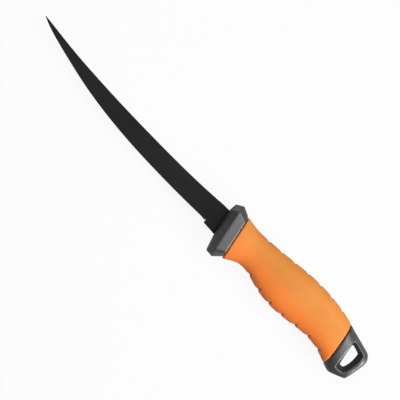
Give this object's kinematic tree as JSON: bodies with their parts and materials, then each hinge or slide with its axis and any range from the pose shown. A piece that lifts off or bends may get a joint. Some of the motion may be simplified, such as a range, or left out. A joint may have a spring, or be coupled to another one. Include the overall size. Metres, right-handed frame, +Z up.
{
  "type": "fillet knife",
  "caption": "Slim curved fillet knife with a black coated blade, a hard guard, a scalloped soft grip and a lanyard loop at the butt.",
  "frame": {"origin": "under the middle of the knife's bounding box, on the surface that it lies on", "axes": "+X from the tip of the blade to the butt, +Y towards the spine, +Z up through the knife lying on its side"},
  "size_m": [0.3096, 0.0416, 0.024],
  "materials": {
    "blade_coating": "satin black coating on stainless steel",
    "hard_plastic": "satin charcoal grey moulding",
    "soft_rubber": "satin orange soft overmould"
  },
  "bodies": {
    "root": {"blade": "blade_coating", "handle_core": "hard_plastic", "soft_grip": "soft_rubber"}
  },
  "joints": []
}
